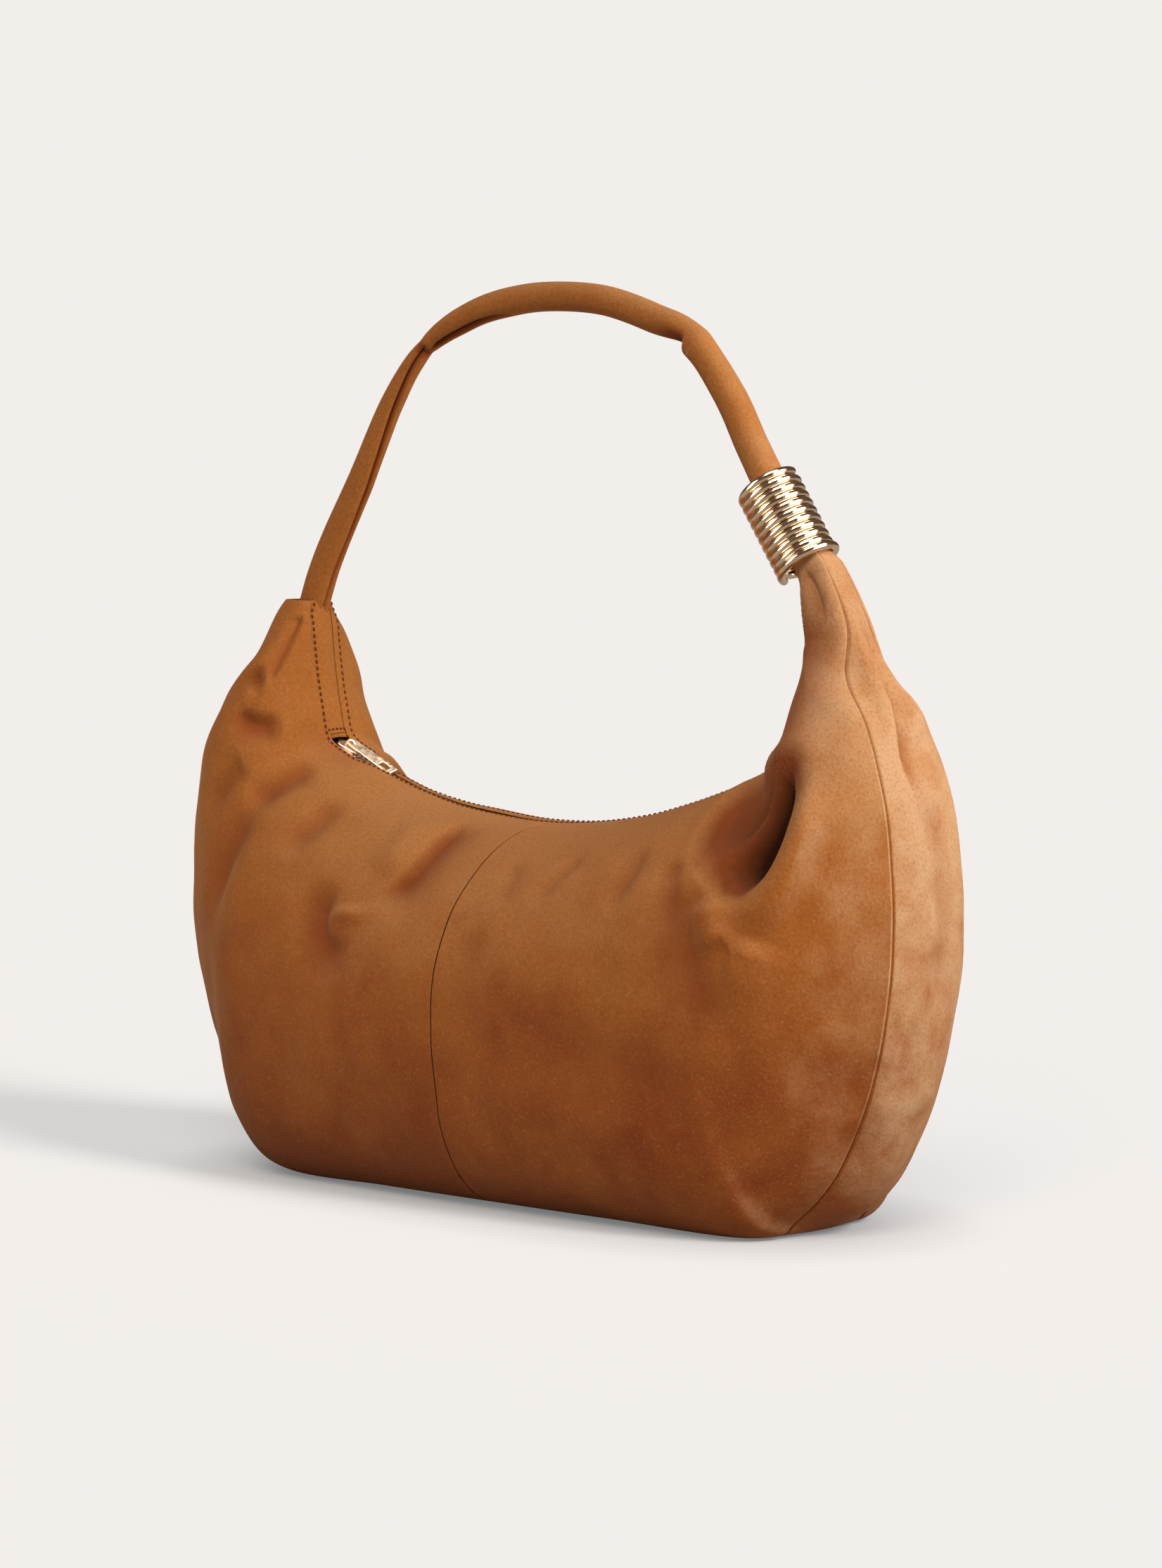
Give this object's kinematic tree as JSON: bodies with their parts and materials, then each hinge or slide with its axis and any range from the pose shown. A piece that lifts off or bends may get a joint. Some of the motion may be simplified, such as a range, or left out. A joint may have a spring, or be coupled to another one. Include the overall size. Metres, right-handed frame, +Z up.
{
  "type": "hobo bag",
  "caption": "Slouchy half-moon shoulder bag in suede, zipped along its rim, with a padded arch strap that passes through a loose metal coil at one end.",
  "frame": {"origin": "on the floor, under the middle of the bag", "axes": "X along the bag with the coil at +X, Y from front to back with the front at -Y, Z up"},
  "size_m": [0.4468, 0.172, 0.4278],
  "materials": {
    "suede": "matte nubuck suede, tan",
    "lining": "plain weave cotton lining, brown",
    "tape": "woven zip tape, tan",
    "gold": "polished pale gold plating",
    "core": "cotton piping cord"
  },
  "bodies": {
    "bag": {"front_panel_left": "suede", "front_panel_right": "suede", "back_panel_left": "suede", "back_panel_right": "suede", "gusset_left": "suede", "gusset_right": "suede", "base_strip": "suede", "zip_facing_front": "suede", "zip_facing_back": "suede", "zip_end_tab_left": "suede", "zip_end_tab_right": "suede", "lining_front": "lining", "lining_back": "lining", "zip_tape_front": "tape", "zip_tape_back": "tape", "zip_teeth_front": "gold", "zip_teeth_back": "gold", "zip_stops": "gold", "strap_anchor": "suede"},
    "slider": {"zip_slider": "gold"},
    "pull": {"zip_pull": "gold"},
    "strap": {"strap_cover": "suede", "strap_core": "core", "tail_gather": "suede"},
    "coil": {"coil_ring": "gold"}
  },
  "joints": [
    {"name": "strap_swing", "type": "hinge", "parent": "bag", "child": "strap", "pos_m": [0, 0, 0.278], "axis": [1, 0, 0], "range_deg": [-65, 65]},
    {"name": "zip_travel", "type": "hinge", "parent": "bag", "child": "slider", "pos_m": [0, 0, 0.489], "axis": [0, -1, 0], "range_deg": [0, 46.3], "deforming": ["zip_teeth_front", "zip_teeth_back", "zip_tape_front", "zip_tape_back"]},
    {"name": "pull_flip", "type": "hinge", "parent": "slider", "child": "pull", "pos_m": [-0.13421, 0, 0.20668], "axis": [0, -1, 0], "range_deg": [0, 115]},
    {"name": "coil_slide", "type": "slide", "parent": "strap", "child": "coil", "axis": [-0.5539, 0, 0.8326], "range_m": [0, 0.055]}
  ]
}
